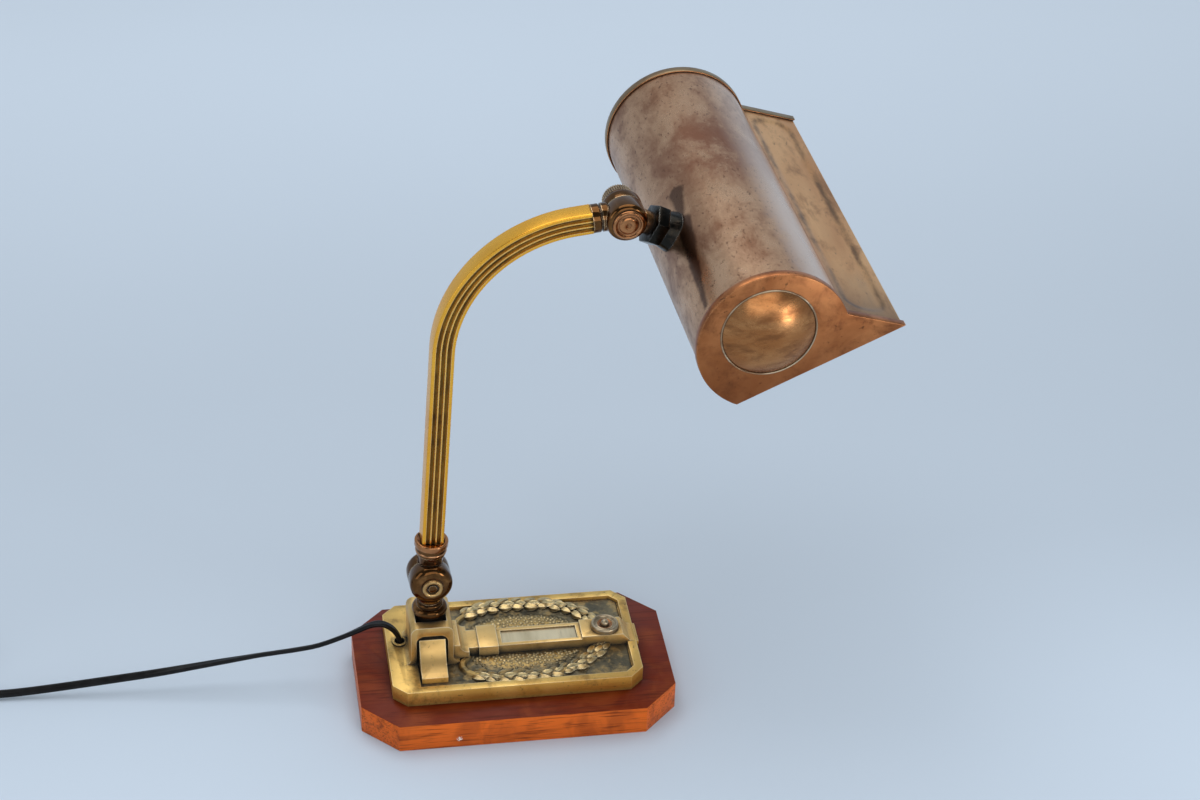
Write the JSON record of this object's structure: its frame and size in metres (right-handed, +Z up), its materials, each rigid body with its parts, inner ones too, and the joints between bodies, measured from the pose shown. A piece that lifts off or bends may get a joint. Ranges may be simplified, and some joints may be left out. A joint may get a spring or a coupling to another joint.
{
  "type": "bankers lamp",
  "caption": "Desk lamp with a wooden plinth, cast brass base plate with a push switch, a bent reeded arm on knuckle joints and a tubular shade with a visor.",
  "frame": {"origin": "middle of the plinth's underside", "axes": "+Z up, +X along the plinth from the arm's foot towards the switch, +Y towards the lamp's back"},
  "size_m": [0.6407, 0.2677, 0.3525],
  "materials": {
    "mahogany": "satin varnish",
    "plate_brass": "aged, worn bright on the raised work",
    "arm_brass": "polished, aged",
    "joint_bronze": "dark patina, glossy",
    "copper": "polished",
    "shade_sheet": "dull mottled patina",
    "end_sheet": "mottled patina",
    "steel": "satin",
    "nickel": "polished",
    "bakelite": "gloss",
    "bulb": "frosted",
    "cord_black": "satin"
  },
  "bodies": {
    "base": {"plinth": "mahogany", "base_plate": "plate_brass", "plate_screws": "steel", "cord_eyelet": "steel", "cord_grip": "bakelite", "grip_screws": "steel", "switch_bezel": "nickel", "switch_body": "bakelite", "switch_nut": "steel", "switch_spring": "steel", "cord": "cord_black", "cord_coil": "cord_black", "cord_tie": "cord_black", "plug_body": "bakelite", "plug_pins": "nickel"},
    "foot": {"foot": "joint_bronze", "foot_washer": "steel", "foot_nut": "steel", "low_pin": "copper", "low_pin_nut": "copper"},
    "arm": {"low_knuckle": "joint_bronze", "low_rings": "copper", "arm": "arm_brass", "upper_ferrule": "joint_bronze", "upper_pin": "copper"},
    "knob": {"knob": "joint_bronze"},
    "shade": {"shade_knuckle": "joint_bronze", "stem_nut": "steel", "stem_saddle": "steel", "inner_nut": "steel", "holder_bracket": "steel", "lampholder": "bakelite", "holder_ring": "bakelite", "bulb_cap": "nickel", "bulb_glass": "bulb", "shade_shell": "shade_sheet", "end_near": "end_sheet", "end_far": "end_sheet", "end_domes": "end_sheet"},
    "button": {"button": "nickel"}
  },
  "joints": [
    {"name": "foot_swivel", "type": "hinge", "parent": "base", "child": "foot", "pos_m": [-0.0525, 0.0045, 0.0585], "axis": [0, 0, 1], "range_deg": [-45, 45]},
    {"name": "arm_tilt", "type": "hinge", "parent": "foot", "child": "arm", "pos_m": [-0.0525, 0.0045, 0.087], "axis": [-0.0558, 0.9984, 0], "range_deg": [-20, 30]},
    {"name": "shade_tilt", "type": "hinge", "parent": "arm", "child": "shade", "pos_m": [0.06342, 0.01098, 0.3403], "axis": [-0.0558, 0.9984, 0], "range_deg": [-40, 50]},
    {"name": "knob_turn", "type": "hinge", "parent": "arm", "child": "knob", "pos_m": [0.06342, 0.01098, 0.3403], "axis": [-0.0558, 0.9984, 0], "range_deg": [0, 180]},
    {"name": "switch_push", "type": "slide", "parent": "base", "child": "button", "axis": [0, 0, -1], "range_m": [0, 0.0022], "stiffness_N_per_m": 600, "deforming": ["switch_spring"]}
  ]
}
